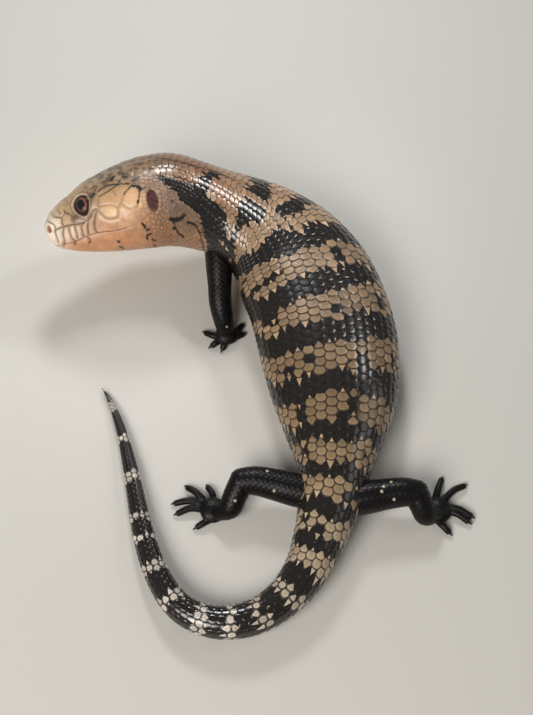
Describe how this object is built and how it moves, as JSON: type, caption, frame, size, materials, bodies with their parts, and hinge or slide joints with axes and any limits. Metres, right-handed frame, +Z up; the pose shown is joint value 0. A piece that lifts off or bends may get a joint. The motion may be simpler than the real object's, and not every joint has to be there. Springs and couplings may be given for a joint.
{
  "type": "blue tongued skink",
  "caption": "Life-size lizard lying on its belly, head raised, body and tail curled to one side, short legs spread with five clawed toes each.",
  "frame": {"origin": "centre of the bounding box at floor level", "axes": "+Z up from the floor; the snout points towards -X, the back runs down -Y from the shoulders to the hips, and the tail curls round to -X"},
  "size_m": [0.0992, 0.1154, 0.033],
  "materials": {
    "head_skin": "smooth horny shields, satin",
    "body_skin": "overlapping glossy scales, tan bands on black",
    "leg_skin": "small glossy black scales",
    "eye": "wet gloss"
  },
  "bodies": {
    "root": {"head": "head_skin", "eye_left": "eye", "eye_right": "eye", "neck": "body_skin", "chest": "body_skin", "trunk_front": "body_skin", "trunk_rear": "body_skin", "pelvis": "body_skin", "tail_1": "body_skin", "tail_2": "body_skin", "tail_3": "body_skin", "tail_4": "body_skin", "tail_5": "body_skin", "tail_6": "body_skin", "foreleg_left_upper": "leg_skin", "foreleg_left_lower": "leg_skin", "foreleg_left_foot": "leg_skin", "foreleg_right_upper": "leg_skin", "foreleg_right_lower": "leg_skin", "foreleg_right_foot": "leg_skin", "hindleg_left_upper": "leg_skin", "hindleg_left_lower": "leg_skin", "hindleg_left_foot": "leg_skin", "hindleg_right_upper": "leg_skin", "hindleg_right_lower": "leg_skin", "hindleg_right_foot": "leg_skin"}
  },
  "joints": []
}
